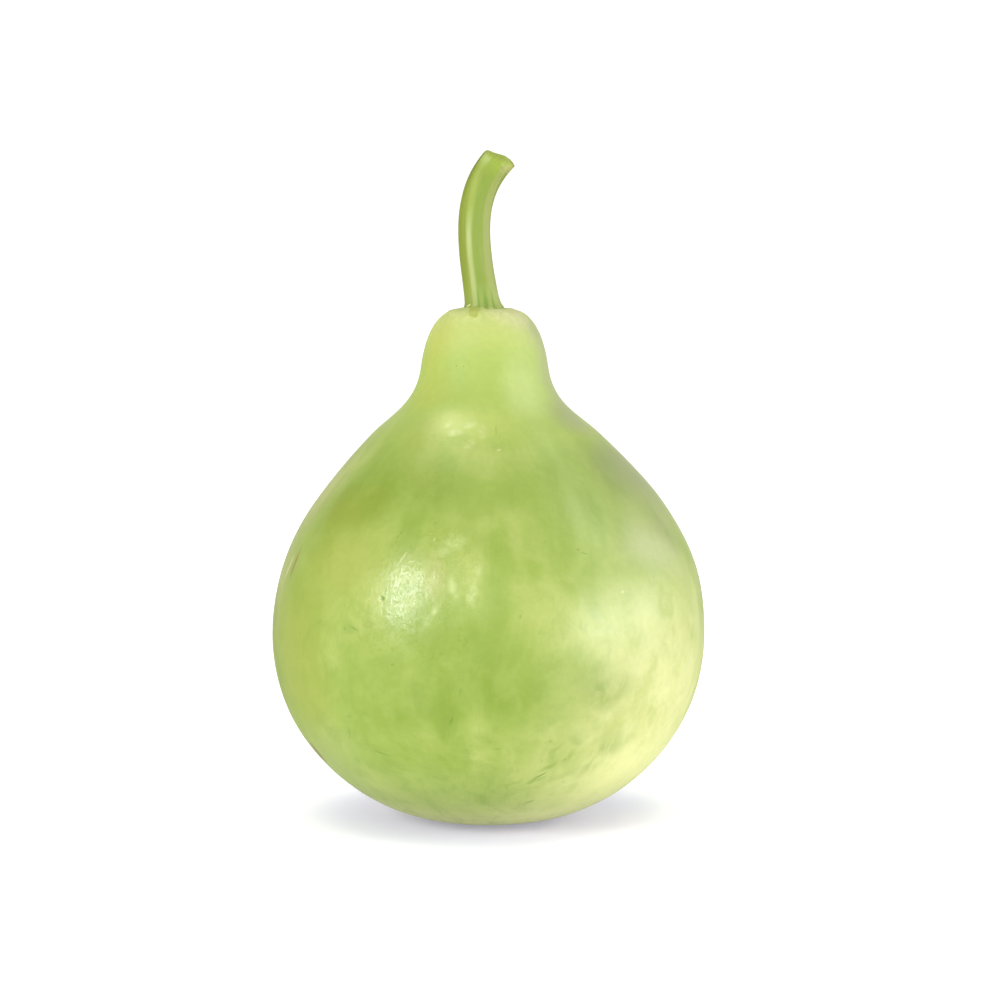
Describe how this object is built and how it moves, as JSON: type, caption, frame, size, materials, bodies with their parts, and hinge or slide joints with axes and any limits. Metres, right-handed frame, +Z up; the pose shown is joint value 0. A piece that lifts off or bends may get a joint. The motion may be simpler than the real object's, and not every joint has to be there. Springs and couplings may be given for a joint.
{
  "type": "bottle gourd",
  "caption": "Round bottle gourd with a short neck, cut with its bent ribbed stalk, standing upright on a small flat spot round its blossom scar.",
  "frame": {"origin": "centre of the flat spot the gourd stands on, at the middle of the footprint of the whole object", "axes": "+Z up from the blossom end to the stalk, -Y the front of the gourd, +X the side the stalk's tip bends to"},
  "size_m": [0.153, 0.153, 0.2357],
  "materials": {
    "gourd_skin": "satin",
    "stalk_skin": "satin"
  },
  "bodies": {
    "root": {"gourd": "gourd_skin", "stalk": "stalk_skin"}
  },
  "joints": []
}
